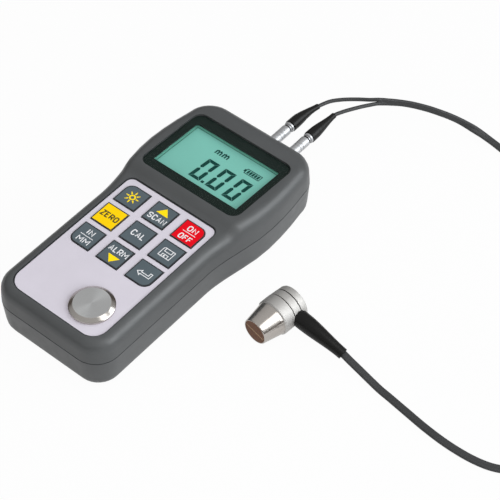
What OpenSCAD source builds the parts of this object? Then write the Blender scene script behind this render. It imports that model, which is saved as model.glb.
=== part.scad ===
// Hand-held ultrasonic thickness gauge with its twin-lead angled probe.
// Millimetres. The gauge lies on its back, with +Z out of the front face, +Y to the display end
// and +X to the right. The origin is the centre of the back face.

/* [Case] */
// Overall length of the case
case_length = 149.6; // [146:0.2:156]
// Width over the display head
head_width = 75; // [72:0.2:78]
// How much narrower the head is at its far end, on each side
head_taper = 2.3; // [1:0.1:3]
// Width over the grip
grip_width = 65; // [63:0.2:69]
// Height of the grip's rim above the back
grip_height = 29.7; // [29:0.1:32]
// Height of the display face at its centre
head_height = 31.3; // [30.8:0.1:34]
// Fall of the display face toward the far end, in degrees
head_tilt = 3.2; // [0:0.1:4]
// Height of the parting line and of the sockets
parting_height = 18; // [17:0.1:18.2]
// Radius of the shoulder round the front face
shoulder_radius = 6; // [5:0.1:6.5]
// Radius of the edge round the back
back_radius = 6; // [4:0.1:7]
// Plan radius of the two corners of the grip
grip_corner = 12; // [10:0.2:14]
// Plan radius of the two corners of the head
head_corner = 14; // [11:0.2:16]
// Wall thickness of both halves
wall = 2.2; // [1.8:0.1:2.4]

/* [Display] */
// Width of the clear window
window_width = 57.3; // [54:0.1:59]
// Length of the clear window
window_length = 43; // [40:0.1:44]
// Thickness of the clear window
window_thickness = 1; // [0.8:0.1:1.6]
// Width of the display seen inside the black mask
view_width = 49.4; // [44:0.1:51]
// Length of the display seen inside the black mask
view_length = 31.2; // [26:0.1:33]
// Distance from the display centre to the far end
display_setback = 34; // [33.4:0.1:35]

/* [Keypad] */
// Key spacing across
key_pitch_x = 17; // [16:0.1:17.6]
// Key spacing along
key_pitch_y = 15; // [14.6:0.1:15.4]
// Key width
key_width = 12.4; // [11:0.1:13]
// Key length
key_length = 12.2; // [11:0.1:12.6]
// Outer corner radius of the four corner keys
key_corner = 4; // [2:0.1:5]
// Height of the keys above the panel
key_rise = 0.35; // [0.2:0.05:0.8]
// Travel of a key
key_travel = 0.5; // [0.3:0.05:0.7]
// Distance from the middle key to the front end
keypad_setback = 61.8; // [60:0.1:63]
// Length of the white keypad panel
panel_length = 81; // [80:0.1:81.8]
// Thickness of the white keypad panel
panel_thickness = 0.5; // [0.3:0.05:0.8]
// Diameter of the steel zero disc
disc_diameter = 20.7; // [18:0.1:22]
// Height of the zero disc above the panel
disc_height = 2.5; // [1.5:0.1:4]

/* [Battery] */
// Diameter of a cell
cell_diameter = 14.2; // [13.8:0.1:14.3]
// Length of a cell
cell_length = 50.2; // [49:0.1:50.5]
// Thickness of the battery door
door_thickness = 2.1; // [1.8:0.05:2.1]

/* [Plugs] */
// Distance of the left socket from the middle
socket_x = 3.1; // [0:0.1:4]
// Spacing of the two sockets
socket_pitch = 11.5; // [10.8:0.1:13]
// Diameter of a plug's sliding sleeve
sleeve_diameter = 5.2; // [5:0.1:5.8]
// Travel of a plug's sliding sleeve
sleeve_travel = 1.2; // [0.8:0.1:1.3]
// Thickness of one lead
lead_diameter = 1.9; // [1.6:0.05:2.3]

/* [Probe] */
// Diameter of the probe's barrel
barrel_diameter = 17.8; // [17.4:0.1:19]
// Length of the barrel
barrel_length = 14.4; // [13:0.1:15]
// Length of the steel nose in front of the barrel
nose_length = 10.6; // [10:0.1:14]
// Diameter of the nose at the contact face
nose_diameter = 12.8; // [11.6:0.1:13]
// Turn of the probe on the table, in degrees
probe_turn = 5.7; // [0:0.1:10]

/* [Hidden] */
front_y = -case_length / 2;
far_y = case_length / 2;
// edges and step of the front face, which with the label and the window take up the case's length
face_edges = 25.6;
length_share = case_length / (panel_length + window_length + face_edges);
window_run = window_length * length_share;
view_run = view_length * length_share;
key_run = key_length * length_share;
key_step = key_pitch_y * length_share;
panel_run = panel_length * length_share;
// clearance between moulded pieces that sit in one another
slip = 0.15;
// gap round each key
key_gap = 0.25;
// inset of both halves at the parting line, which reads as a fine groove
parting_bevel = 0.3;
// taper of the upper and the lower half away from the parting line
upper_taper = 0.35;
lower_taper = 0.8;
shoulder_z = grip_height - shoulder_radius;
corner_steps = 8;
round_steps = 6;

// depth of the recess that holds the panel, and the deck under it
panel_recess = 1.1;
deck_depth = panel_recess + wall;
recess_z = grip_height - panel_recess;
panel_z = recess_z + panel_thickness;
deck_z = grip_height - deck_depth;
panel_width = grip_width - 2 * shoulder_radius - 2 * slip;
panel_front_y = front_y + shoulder_radius - 0.8 + slip;
panel_mid_y = panel_front_y + panel_run / 2;
key_y = front_y + keypad_setback * length_share;
disc_x = 11.8;
disc_y = front_y + 19.2 * length_share;
disc_stem = 8;

display_y = far_y - display_setback * length_share;
mask_thickness = 0.35;
window_recess = window_thickness + mask_thickness + 0.08;
lcd_margin = 2.1;
lcd_top = deck_depth + 0.1;
// the display and its light share the room between the deck and the board
board_top = 20.6;
display_room = head_height - lcd_top - board_top;
lcd_thickness = 0.3 * display_room;
light_thickness = 0.38 * display_room;
light_bottom = lcd_top + lcd_thickness + light_thickness;

// the neck widens from the grip to the head, and the face rises over the ramp
neck_y0 = display_y - 45 * length_share;
neck_y1 = display_y - 6 * length_share;
ramp_y0 = panel_front_y + panel_run + slip + 0.2;
ramp_y1 = display_y - window_run / 2 - 0.8;

// the main board hangs from posts under the deck
board_thickness = 1.6;
board_width = 50;
board_y0 = front_y + 18 * length_share;
board_y1 = display_y + window_run / 2;
post_x = 22;
post_ys = [ramp_y0 + 3.2 * length_share, front_y + 27.5 * length_share];
mat_web = 0.8;
mat_top = board_top + 3;
flange_top = deck_z - 0.1;
flange_thickness = 0.8;
key_top = panel_z + key_rise;

// case screws
screw_points = [[24.5, front_y + 12], [28.5, far_y - 10]];
screw_diameter = 2.5;
screw_seat = 8;

// battery bay, open to the back
bay_y0 = front_y + 9.5;
bay_length = 60;
bay_y1 = bay_y0 + bay_length;
bay_half = 15.2;
bay_wall = 2.8;
bay_roof = 17.3;
contact_thickness = 0.5;
cell_x = 7.5;
cell_z = door_thickness + 0.35 + cell_diameter / 2;
cap_length = 1;
spring_length = bay_length - 2 * contact_thickness - 0.1 - cell_length;
door_half = 15.2;
door_slope = 1;
door_y1 = bay_y1 + 1.5;

// the socket and plug, measured along the plug's axis from the case's end
socket_body = 6.2;
socket_flange = 1.2;
socket_depth = 11.4;
core_diameter = sleeve_diameter - 0.8;
nose_tube = 4;
sleeve_start = 1.5;
sleeve_length = 12.1;
nut_start = sleeve_start + sleeve_length + sleeve_travel + 0.2;
nut_length = 1.5;
boot_start = nut_start + nut_length;
boot_diameter = 6;
boot_length = 18.9;

// the probe's place on the table, where its axis meets the contact face
probe_at = [64.5, -9.7];
probe_z = barrel_diameter / 2;
groove_depth = 0.5;
cap_diameter = 13;
// distance from the barrel's front to the boot
boot_set = 8.9;
// turn of the barrier between the two delay lines
barrier_turn = 12;

// boots and leads as points in the order they run
left_boot = [[3.1, 91.3], [3.15, 97], [3.4, 101], [4, 105.6], [5, 110.2]];
left_lead = [[5, 110.2, 18], [7.2, 116.2, 18], [10.3, 120.4, 17.9], [13.8, 123.9, 17.8],
             [17.4, 127.1, 17.6], [21.2, 129.9, 17.6], [23.6, 131.9, 17.7]];
right_lead = [[14.6, 110.2, 18], [16.7, 115.4, 18], [19.2, 120.3, 17.8], [21.3, 124.6, 17.3],
              [23.2, 128.3, 16.7], [24.7, 130.9, 16.4]];
// twin cable: x, y, z and roll, where 0 lies flat and 90 stands on its edge
cable_out = [[24.3, 131.7, 17, 45], [28.2, 135.6, 16.2, 70], [32.2, 139.7, 15, 90],
             [36.2, 142.7, 14.2, 90], [40.3, 145.4, 13.2, 90], [44.5, 148, 12, 90],
             [48.8, 150.4, 10.6, 90], [53.2, 152.8, 9, 90], [57.9, 154.9, 7.2, 85],
             [63.1, 156.5, 5.3, 55], [68.1, 157.6, 3.6, 25], [73.9, 158.1, 2, 0],
             [80.1, 157.8, 1, 0], [88, 156, 1, 0], [97, 152.3, 1.35, 15],
             [107, 147, 1.75, 50], [117, 141.6, 1.95, 90], [130, 134.6, 1.95, 90],
             [146, 126, 1.95, 90], [160, 118.4, 1.95, 90], [174, 110.8, 1.95, 90],
             [185, 104.3, 1.95, 90], [194.3, 98.4, 1.95, 90]];
cable_in = [[215.1, 62.2, 6.4, 90], [211.6, 50.6, 5.2, 90], [208.6, 42, 3.9, 80],
            [205.4, 33, 2.5, 50], [202, 24.6, 1.4, 15], [197.6, 16, 1, 0],
            [191.4, 8.6, 1, 0], [183.6, 3.6, 1, 0], [174, 1.2, 1, 0],
            [162, 0.6, 1, 0], [150, 1.4, 1, 0], [139, 2.9, 1, 0],
            [128.6, 4.4, 1, 0], [122.5, 5.2, 1, 0], [116.5, 6.1, 1.6, 0],
            [110.2, 7, 2.5, 0], [104.2, 7.7, 3.6, 0], [100.05, 8.25, 4.4, 0]];
coil_at = [190.5, 72.2];
coil_inner = 17.8;
coil_outer = 25.5;
coil_height = 7.9;
coil_lift = 0.6;
tie_turn = 200;

$fn = 48;

// Plan outline of the case and the height of its front face

function smooth(t) = t <= 0 ? 0 : t >= 1 ? 1 : t * t * (3 - 2 * t);

function half_width(y) =
    grip_width / 2 + (head_width - grip_width) / 2 * smooth((y - neck_y0) / (neck_y1 - neck_y0))
    - head_taper * pow(max(0, y - neck_y1) / (far_y - head_corner - neck_y1), 2);

function head_line(y) = head_height - tan(head_tilt) * (y - display_y);

function face_z(y) =
    grip_height + smooth((y - ramp_y0) / (ramp_y1 - ramp_y0)) * (head_line(y) - grip_height);

function arc(x, y, r, a0, a1) =
    [for (i = [0:corner_steps])
        let (a = a0 + (a1 - a0) * i / corner_steps)
        [x + r * cos(a), y + r * sin(a)]];

side_ys = concat([for (i = [0:12]) neck_y0 + (ramp_y1 - neck_y0) * i / 12],
                 [for (i = [1:4]) ramp_y1 + (far_y - head_corner - ramp_y1) * i / 5]);

function right_side(d) =
    concat(arc(grip_width / 2 - grip_corner, front_y + grip_corner, grip_corner - d, -90, 0),
           [for (y = side_ys) [half_width(y) - d, y]],
           arc(half_width(far_y - head_corner) - head_corner, far_y - head_corner, head_corner - d, 0, 90));

function outline(d) =
    let (r = right_side(d), n = len(r))
    concat(r, [for (i = [n - 1:-1:0]) [-r[i].x, r[i].y]]);

// one ring of the case at inset d, from height z toward the face (drop below it) by the share f
function ring(d, z, f = 0, drop = 0) =
    [for (p = outline(d)) [p.x, p.y, z + f * (face_z(p.y) - drop - z)]];

round_angles = [for (i = [0:round_steps]) 90 * i / round_steps];

upper_outer = concat(
    [ring(parting_bevel, parting_height), ring(0, parting_height + parting_bevel)],
    [for (a = round_angles)
        ring(upper_taper + (shoulder_radius - upper_taper) * (1 - cos(a)), shoulder_z, sin(a))]);

upper_inner = concat(
    [ring(wall, parting_height)],
    [for (i = [0:2:round_steps])
        let (a = round_angles[i])
        ring(wall + upper_taper + (shoulder_radius - wall - upper_taper) * (1 - cos(a)),
             shoulder_z, sin(a), deck_depth)]);

lower_outer = concat(
    [ring(parting_bevel, parting_height), ring(0, parting_height - parting_bevel)],
    [for (a = round_angles)
        ring(lower_taper + back_radius * (1 - cos(a)), back_radius * (1 - sin(a)))]);

lower_inner = concat(
    [ring(wall, parting_height)],
    [for (i = [0:2:round_steps])
        let (a = round_angles[i])
        ring(wall + lower_taper + (back_radius - wall) * (1 - cos(a)),
             back_radius - (back_radius - wall) * sin(a))]);

function flipped(list) = [for (i = [len(list) - 1:-1:0]) list[i]];

// closed skin through rings of equal length, with strips across the first and the last ring
module skin(rings) {
    n = len(rings[0]);
    m = len(rings);
    walls = [for (k = [0:m - 2]) for (i = [0:n - 1])
        let (a = k * n + i, b = k * n + (i + 1) % n, c = a + n, d = b + n)
        each [[a, c, d], [a, d, b]]];
    first = [for (i = [0:n / 2 - 2]) [i, i + 1, n - 2 - i, n - 1 - i]];
    last = [for (i = [0:n / 2 - 2])
        let (o = (m - 1) * n)
        [o + i, o + n - 1 - i, o + n - 2 - i, o + i + 1]];
    polyhedron(points = [for (r = rings) each r], faces = concat(walls, first, last));
}

// Swept tubes

function unit(v) = v / norm(v);

function heading(path, i) =
    let (n = len(path), a = path[max(i - 1, 0)], b = path[min(i + 1, n - 1)])
    unit([b.x - a.x, b.y - a.y, b.z - a.z]);

// one ring of a tube: section points lie across the path, turned by roll
function tube_ring(p, t, section, roll) =
    let (side = unit([-t.y, t.x, 0]), up = cross(t, side) * -1)
    [for (s = section)
        let (u = s.x * cos(roll) - s.y * sin(roll), v = s.x * sin(roll) + s.y * cos(roll))
        [p.x + side.x * u - up.x * v, p.y + side.y * u - up.y * v, p.z + side.z * u - up.z * v]];

module tube(rings) {
    n = len(rings[0]);
    m = len(rings);
    walls = [for (k = [0:m - 2]) for (i = [0:n - 1])
        let (a = k * n + i, b = k * n + (i + 1) % n, c = a + n, d = b + n)
        each [[a, c, d], [a, d, b]]];
    first = [[for (i = [0:n - 1]) i]];
    last = [[for (i = [n - 1:-1:0]) (m - 1) * n + i]];
    polyhedron(points = [for (r = rings) each r], faces = concat(walls, first, last));
}

function round_section(r, n) =
    [for (i = [0:n - 1]) let (a = 360 * (i + 0.5) / n) [r * cos(a), r * sin(a)]];

function flat_section(w, h) =
    let (s = 0.24 * h)
    [[w / 2, s], [w / 2 - s, h / 2], [s - w / 2, h / 2], [-w / 2, s],
     [-w / 2, -s], [s - w / 2, -h / 2], [w / 2 - s, -h / 2], [w / 2, -s]];

module lead_tube(path) {
    tube([for (i = [0:len(path) - 1])
        tube_ring(path[i], heading(path, i), round_section(lead_diameter / 2, 8), 0)]);
}

module twin_tube(path) {
    tube([for (i = [0:len(path) - 1])
        tube_ring(path[i], heading(path, i), flat_section(2 * lead_diameter, lead_diameter), path[i][3])]);
}

// Plane shapes

module plate_shape(w, l, r_front, r_far) {
    difference() {
        square([w, l], center = true);
        for (s = [-1, 1]) {
            translate([s * w / 2, -l / 2]) scale([-s, 1]) corner_cut(r_front);
            translate([s * w / 2, l / 2]) scale([-s, -1]) corner_cut(r_far);
        }
    }
}

module corner_cut(r) {
    difference() {
        translate([-1, -1]) square(r + 1);
        translate([r, r]) circle(r);
    }
}

// key outline: only the keys at the corners of the field have a large outer corner
module key_shape(col, row, grow) {
    w = key_width + 2 * grow;
    l = key_run + 2 * grow;
    difference() {
        square([w, l], center = true);
        if (col != 0 && row != 0)
            translate([col * w / 2, row * l / 2]) scale([-col, -row]) corner_cut(key_corner + grow);
    }
}

module at_key(col, row) {
    translate([col * key_pitch_x, key_y + row * key_step, 0]) children();
}

module key_fields() {
    for (col = [-1:1], row = [-1:1]) at_key(col, row) children();
}

module along_y(y0, y1) {
    translate([0, y0, 0]) rotate([-90, 0, 0]) linear_extrude(y1 - y0) children();
}

module in_display() {
    translate([0, display_y, head_height]) rotate([-head_tilt, 0, 0]) children();
}

module display_plate(w, l, r, z0, z1) {
    in_display() translate([0, 0, z0]) linear_extrude(z1 - z0) plate_shape(w, l, r, r);
}

module at_screws() {
    for (p = screw_points, s = [-1, 1]) translate([s * p.x, p.y, 0]) children();
}

module at_posts() {
    for (y = post_ys, s = [-1, 1]) translate([s * post_x, y, 0]) children();
}

module at_sockets() {
    for (i = [0, 1]) at_socket(i) children();
}

// the plug's own frame: z runs out of the case's end along the plug
module at_socket(i) {
    translate([socket_x + i * socket_pitch, far_y, parting_height]) rotate([-90, 0, 0]) children();
}

module in_probe() {
    translate([probe_at.x, probe_at.y, probe_z]) rotate([0, 0, -probe_turn]) children();
}

// the probe's axis as z, from the contact face to the back
module on_probe_axis() {
    in_probe() rotate([-90, 0, 0]) children();
}

// Case

module upper_case() {
    color([0.31, 0.31, 0.3])
    difference() {
        union() {
            skin(concat(flipped(upper_inner), upper_outer));
            at_screws() translate([0, 0, parting_height + 0.1])
                cylinder(d = 6.4, h = deck_z + 0.6 - parting_height);
            at_posts() translate([0, 0, board_top]) cylinder(d = 5, h = deck_z + 0.6 - board_top);
        }
        translate([0, panel_mid_y, recess_z]) linear_extrude(8)
            plate_shape(panel_width + 2 * slip, panel_run + 2 * slip, 8, 4);
        key_fields_cut();
        translate([disc_x, disc_y, deck_z - 1]) cylinder(d = disc_stem + 0.2, h = 6);
        display_plate(window_width + 2 * slip, window_run + 2 * slip, 5, -window_recess, 4);
        display_plate(view_width + 2.2, view_run + 2.2, 1, -9, 1);
        at_screws() translate([0, 0, parting_height - 1])
            cylinder(d = screw_diameter + 0.1, h = 9.2);
        at_posts() translate([0, 0, board_top - 1]) cylinder(d = 2.1, h = 5);
        at_sockets() translate([0, 0, -4]) cylinder(d = socket_body + 0.1, h = 6);
    }
}

module key_fields_cut() {
    for (col = [-1:1], row = [-1:1])
        at_key(col, row) translate([0, 0, deck_z - 1]) linear_extrude(6) key_shape(col, row, key_gap);
}

// door outline across the case, wider inside than outside so that it slides in its own bevels
module door_profile(grow) {
    polygon([[-door_half - grow, 0.01], [door_half + grow, 0.01],
             [door_half + door_slope + grow, -door_thickness - grow],
             [-door_half - door_slope - grow, -door_thickness - grow]]);
}

module lower_case() {
    color([0.29, 0.29, 0.29])
    difference() {
        union() {
            skin(concat(flipped(lower_outer), lower_inner));
            translate([-bay_half - bay_wall, bay_y0 - 2, wall - 0.5])
                cube([2 * (bay_half + bay_wall), bay_length + 4, bay_roof + 1.1 - wall + 0.5]);
            at_screws() translate([0, 0, wall - 0.5])
                cylinder(d = 7.4, h = parting_height - 0.1 - wall + 0.5);
        }
        translate([-bay_half, bay_y0, -1]) cube([2 * bay_half, bay_length, bay_roof + 1]);
        translate([0, front_y - 1, 0]) rotate([-90, 0, 0])
            linear_extrude(door_y1 + slip - front_y + 1) door_profile(slip);
        at_screws() translate([0, 0, -1]) cylinder(d = 5.4, h = screw_seat + 1);
        at_screws() translate([0, 0, -1]) cylinder(d = screw_diameter + 0.3, h = parting_height + 2);
        at_sockets() translate([0, 0, -4]) cylinder(d = socket_body + 0.1, h = 6);
    }
}

module battery_door() {
    color([0.27, 0.27, 0.27])
    difference() {
        intersection() {
            skin(flipped(lower_outer));
            translate([0, front_y - 1, 0]) rotate([-90, 0, 0])
                linear_extrude(door_y1 - front_y + 1) door_profile(0);
        }
        for (i = [0:4]) translate([-8, bay_y0 + 2 + 2.4 * i, -0.6]) cube([16, 1.1, 1.1]);
    }
}

module case_screws() {
    color([0.2, 0.2, 0.21])
    at_screws() difference() {
        union() {
            translate([0, 0, screw_seat - 2]) cylinder(d = 4.8, h = 2);
            translate([0, 0, screw_seat - 0.1]) cylinder(d = screw_diameter, h = 17);
        }
        for (a = [0, 90]) rotate([0, 0, a])
            translate([-1.5, -0.3, screw_seat - 2.5]) cube([3, 0.6, 1.6]);
    }
}

// Front face

module keypad_panel() {
    color([0.86, 0.85, 0.88])
    difference() {
        translate([0, panel_mid_y, recess_z]) linear_extrude(panel_thickness)
            plate_shape(panel_width, panel_run, 8 - slip, 4 - slip);
        key_fields_cut();
        translate([disc_x, disc_y, deck_z]) cylinder(d = disc_stem + 0.2, h = 6);
    }
}

module keypad_mat() {
    color([0.2, 0.2, 0.21])
    union() {
        translate([-key_pitch_x - key_width / 2 - 1, key_y - key_step - key_run / 2 - 1, board_top])
            cube([2 * key_pitch_x + key_width + 2, 2 * key_step + key_run + 2, mat_web]);
        key_fields() translate([0, 0, board_top + mat_web - 0.1])
            cylinder(d1 = 10, d2 = 7.4, h = mat_top - board_top - mat_web + 0.1);
    }
}

module key(col, row, tint) {
    color(tint)
    at_key(col, row) union() {
        translate([0, 0, flange_top - 0.1]) linear_extrude(key_top - flange_top + 0.1)
            key_shape(col, row, 0);
        translate([-key_width / 2 - 0.8, -key_run / 2 - 0.8, flange_top - flange_thickness])
            cube([key_width + 1.6, key_run + 1.6, flange_thickness]);
        translate([0, 0, mat_top]) cylinder(d = 7, h = flange_top - 0.2 - mat_top);
    }
}

slate = [0.33, 0.36, 0.37];
module key_backlight() { key(-1, 1, slate); }
module key_scan() { key(0, 1, slate); }
module key_power() { key(1, 1, [0.85, 0.02, 0.1]); }
module key_zero() { key(-1, 0, [0.98, 0.83, 0.02]); }
module key_calibrate() { key(0, 0, slate); }
module key_save() { key(1, 0, slate); }
module key_units() { key(-1, -1, slate); }
module key_alarm() { key(0, -1, slate); }
module key_enter() { key(1, -1, slate); }

module zero_disc() {
    color([0.72, 0.73, 0.74])
    translate([disc_x, disc_y, panel_z]) rotate_extrude($fn = 64)
        polygon([[0, deck_z + 0.4 - panel_z], [disc_stem / 2, deck_z + 0.4 - panel_z], [disc_stem / 2, 0],
                 [disc_diameter / 2 - 0.2, 0], [disc_diameter / 2, 0.2],
                 [disc_diameter / 2, 0.45 * disc_height],
                 [disc_diameter / 2 - 0.5, 0.45 * disc_height + 0.35],
                 [disc_diameter / 2 - 2, disc_height], [0, disc_height]]);
}

// Display

module display_window() {
    color([0.75, 0.85, 0.82, 0.4])
    display_plate(window_width, window_run, 5 - slip, -0.05 - window_thickness, -0.05);
}

module display_mask() {
    color([0.05, 0.06, 0.06])
    difference() {
        display_plate(window_width, window_run, 5 - slip, -window_recess, mask_thickness - window_recess);
        in_display() translate([-view_width / 2, -view_run / 2, -window_recess - 1])
            cube([view_width, view_run, 3]);
    }
}

module display_box(grow, depth0, depth1) {
    w = view_width + 2 * lcd_margin + 2 * grow;
    l = view_run + 2 * lcd_margin + 2 * grow;
    in_display() translate([-w / 2, -l / 2, -depth1]) cube([w, l, depth1 - depth0]);
}

module lcd_panel() {
    color([0.49, 0.72, 0.64])
    display_box(0, lcd_top, lcd_top + lcd_thickness);
}

module backlight_panel() {
    color([0.9, 0.92, 0.9])
    display_box(0, lcd_top + lcd_thickness, light_bottom);
}

module lcd_holder() {
    color([0.16, 0.16, 0.17])
    difference() {
        display_box(1.6, lcd_top, lcd_top + 16);
        display_box(0.12, lcd_top - 1, light_bottom);
        display_box(-3, lcd_top - 1, lcd_top + 18);
        translate([-60, display_y - 50, board_top - 30]) cube([120, 100, 30]);
    }
}

// Inside

module main_board() {
    color([0.05, 0.3, 0.2])
    difference() {
        translate([-board_width / 2, board_y0, board_top - board_thickness])
            cube([board_width, board_y1 - board_y0, board_thickness]);
        at_posts() translate([0, 0, board_top - 3]) cylinder(d = 2.3, h = 4);
    }
}

module board_screws() {
    color([0.6, 0.6, 0.6])
    at_posts() translate([0, 0, board_top - board_thickness]) union() {
        translate([0, 0, -1.4]) cylinder(d = 3.8, h = 1.4);
        translate([0, 0, -0.1]) cylinder(d = 2, h = 5);
    }
}

module buzzer() {
    color([0.08, 0.08, 0.08])
    translate([-17, display_y, board_top - board_thickness - 5]) difference() {
        cylinder(d = 12, h = 5);
        translate([0, 0, -1]) cylinder(d = 2, h = 2);
    }
}

// a cell with its cap at local +Y
module cell() {
    rotate([-90, 0, 0]) rotate_extrude()
        polygon([[0, 0], [cell_diameter / 2 - 0.8, 0], [cell_diameter / 2, 0.5],
                 [cell_diameter / 2, cell_length - cap_length - 0.6],
                 [cell_diameter / 2 - 0.8, cell_length - cap_length],
                 [2.7, cell_length - cap_length], [2.7, cell_length], [0, cell_length]]);
}

module battery_cell_left() {
    color([0.75, 0.6, 0.25])
    translate([-cell_x, bay_y1 - contact_thickness - 0.05 - cell_length, cell_z]) cell();
}

module battery_cell_right() {
    color([0.75, 0.6, 0.25])
    translate([cell_x, bay_y0 + contact_thickness + 0.05 + cell_length, cell_z])
        rotate([0, 0, 180]) cell();
}

function spring_point(t) =
    let (r = 5.2 - 1.6 * t, wire = 0.4)
    [r * cos(1440 * t), wire + (spring_length - 2 * wire) * t, r * sin(1440 * t)];

module spring() {
    path = [for (i = [0:40]) spring_point(i / 40)];
    tube([for (i = [0:40])
        let (p = path[i], out = unit([p.x, 0, p.z]))
        [for (k = [0:5]) p + 0.4 * (cos(60 * k) * out + sin(60 * k) * [0, 1, 0])]]);
}

module battery_springs() {
    color([0.75, 0.75, 0.76])
    union() {
        translate([-cell_x, bay_y0 + contact_thickness, cell_z]) spring();
        translate([cell_x, bay_y1 - contact_thickness, cell_z]) rotate([0, 0, 180]) spring();
    }
}

module battery_contacts() {
    color([0.78, 0.78, 0.79])
    for (s = [-1, 1], y = [bay_y0, bay_y1 - contact_thickness])
        translate([s * cell_x - 6, y, cell_z - 6]) cube([12, contact_thickness, 12]);
}

// Sockets and plugs

module socket(i) {
    color([0.62, 0.62, 0.63])
    at_socket(i) difference() {
        union() {
            translate([0, 0, -socket_depth]) cylinder(d = socket_body, h = socket_depth + socket_flange);
            cylinder(d = 8, h = socket_flange);
        }
        difference() {
            translate([0, 0, 1.2 - socket_depth]) cylinder(d = nose_tube + 0.2, h = 20);
            translate([0, 0, -socket_depth]) cylinder(d = 0.9, h = 6.2);
        }
    }
}

module socket_left() { socket(0); }
module socket_right() { socket(1); }

module socket_nuts() {
    color([0.68, 0.67, 0.62])
    at_sockets() translate([0, 0, -wall - 2.5]) difference() {
        cylinder(d = 9.2, h = 2, $fn = 6);
        translate([0, 0, -1]) cylinder(d = socket_body + 0.06, h = 4);
    }
}

module plug_core(i) {
    color([0.66, 0.62, 0.5])
    at_socket(i) difference() {
        union() {
            translate([0, 0, 2.6 - socket_depth]) cylinder(d = nose_tube, h = socket_depth);
            translate([0, 0, sleeve_start - 0.2])
                cylinder(d = core_diameter, h = boot_start - sleeve_start + 0.2);
        }
        translate([0, 0, 1 - socket_depth]) cylinder(d = 2.2, h = 6);
    }
}

module plug_core_left() { plug_core(0); }
module plug_core_right() { plug_core(1); }

module plug_sleeve(i) {
    color([0.8, 0.8, 0.8])
    at_socket(i) translate([0, 0, sleeve_start]) rotate_extrude() {
        r = sleeve_diameter / 2;
        r0 = core_diameter / 2 + 0.05;
        polygon([[r0, 0], [r - 0.25, 0], [r, 0.3], [r, 5.2], [r - 0.2, 5.4], [r - 0.2, 5.8], [r, 6],
                 [r, 7], [r - 0.2, 7.2], [r - 0.2, 7.6], [r, 7.8], [r, sleeve_length - 0.2],
                 [r - 0.2, sleeve_length], [r0, sleeve_length]]);
    }
}

module plug_sleeve_left() { plug_sleeve(0); }
module plug_sleeve_right() { plug_sleeve(1); }

module plug_nut(i) {
    color([0.83, 0.83, 0.83])
    at_socket(i) translate([0, 0, nut_start]) rotate_extrude() {
        r = sleeve_diameter / 2 + 0.1;
        r0 = core_diameter / 2 + 0.05;
        polygon([[r0, 0], [r - 0.3, 0], [r, 0.3], [r, nut_length - 0.3], [r - 0.3, nut_length],
                 [r0, nut_length]]);
    }
}

module plug_nut_left() { plug_nut(0); }
module plug_nut_right() { plug_nut(1); }

// radius of a plug's boot at the share t of its length
function boot_radius(t) =
    boot_diameter / 2 - (boot_diameter - lead_diameter - 0.9) / 2 * smooth(1.15 * t - 0.15);

module plug_boot_left() {
    color([0.07, 0.07, 0.08])
    tube([for (i = [0:12])
        let (t = i / 12, k = min(floor(4 * t), 3), w = 4 * t - k,
             a = left_boot[k], b = left_boot[k + 1],
             p = [a.x + w * (b.x - a.x) + socket_x - left_boot[0].x,
                  a.y + w * (b.y - a.y) + far_y + boot_start - left_boot[0].y, parting_height],
             h = i == 0 ? [0, 1, 0] : unit([b.x - a.x, b.y - a.y, 0]))
        tube_ring(p, h, round_section(boot_radius(t), 16), 0)]);
}

module plug_boot_right() {
    color([0.07, 0.07, 0.08])
    at_socket(1) translate([0, 0, boot_start]) rotate_extrude()
        polygon(concat([[0, 0]], [for (i = [0:8]) [boot_radius(i / 8), boot_length * i / 8]],
                       [[0, boot_length]]));
}

// Cable

module lead_left() {
    color([0.06, 0.06, 0.07])
    lead_tube(left_lead);
}

module lead_right() {
    color([0.06, 0.06, 0.07])
    lead_tube(right_lead);
}

module cable_out_run() {
    color([0.08, 0.08, 0.09])
    twin_tube(cable_out);
}

module cable_in_run() {
    color([0.08, 0.08, 0.09])
    twin_tube(cable_in);
}

module cable_coil() {
    color([0.08, 0.08, 0.09])
    translate([coil_at.x, coil_at.y, coil_lift]) rotate_extrude($fn = 96)
        translate([coil_inner, 0]) square([coil_outer - coil_inner, coil_height]);
}

module cable_tie() {
    color([0.12, 0.12, 0.13])
    translate([coil_at.x, coil_at.y, 0]) rotate([0, 0, tie_turn]) difference() {
        translate([coil_inner - 0.9, -2.5, 0])
            cube([coil_outer - coil_inner + 1.8, 5, coil_height + coil_lift + 0.7]);
        translate([coil_inner - 0.35, -3, coil_lift - 0.1])
            cube([coil_outer - coil_inner + 0.7, 6, coil_height + 0.2]);
    }
}

// Probe

module probe_nose() {
    color([0.75, 0.75, 0.76])
    on_probe_axis() rotate_extrude($fn = 64) {
        r = nose_diameter / 2;
        polygon([[r - 0.5, 0], [r - 0.2, 0], [r, 0.2], [r + 1.9, nose_length], [0, nose_length],
                 [0, nose_length - 3], [r - 0.5, nose_length - 3]]);
    }
}

module probe_delay(s) {
    color([0.45, 0.28, 0.17])
    on_probe_axis() rotate([0, 0, barrier_turn]) intersection() {
        cylinder(d = nose_diameter - 1.1, h = nose_length - 3.05, $fn = 64);
        translate([-20, s > 0 ? 0.3 : -20.3, -1]) cube([40, 20, 30]);
    }
}

module probe_delay_upper() { probe_delay(-1); }
module probe_delay_lower() { probe_delay(1); }

module probe_barrier() {
    color([0.12, 0.1, 0.09])
    on_probe_axis() rotate([0, 0, barrier_turn]) translate([1 - nose_diameter / 2, -0.25, 0])
        cube([nose_diameter - 2, 0.5, nose_length - 3.05]);
}

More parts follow.
